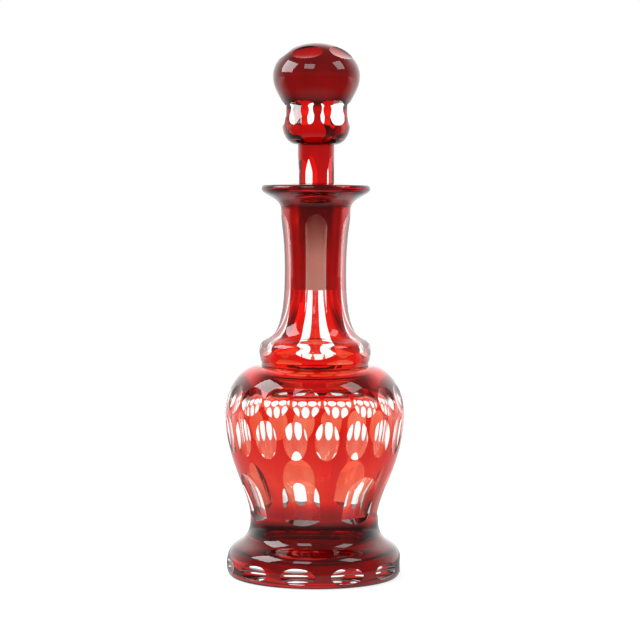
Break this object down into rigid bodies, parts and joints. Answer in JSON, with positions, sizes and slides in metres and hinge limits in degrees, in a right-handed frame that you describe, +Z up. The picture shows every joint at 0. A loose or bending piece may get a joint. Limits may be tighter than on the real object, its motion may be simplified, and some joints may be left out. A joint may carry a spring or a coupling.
{
  "type": "cut glass decanter",
  "caption": "Waisted glass decanter with a solid foot, beaded collar, fluted neck and flared lip, closed by a ground glass stopper that lifts out.",
  "frame": {"origin": "centre of the ground ring under the foot, on the surface that the bottle stands on", "axes": "+Z up along the axis of the bottle and the stopper; -Y faces the viewer"},
  "size_m": [0.1014, 0.1016, 0.3001],
  "materials": {
    "ruby_flashed_glass": "polished clear glass under a thin ruby skin, the cuts polished clear, the seat ground matt",
    "stopper_glass": "polished clear glass under a thin ruby skin, the plug ground matt"
  },
  "bodies": {
    "bottle": {"carafe_body": "ruby_flashed_glass"},
    "stopper": {"stopper": "stopper_glass"}
  },
  "joints": [
    {"name": "stopper_lift", "type": "slide", "parent": "bottle", "child": "stopper", "axis": [0, 0, 1], "range_m": [0, 0.075]}
  ]
}
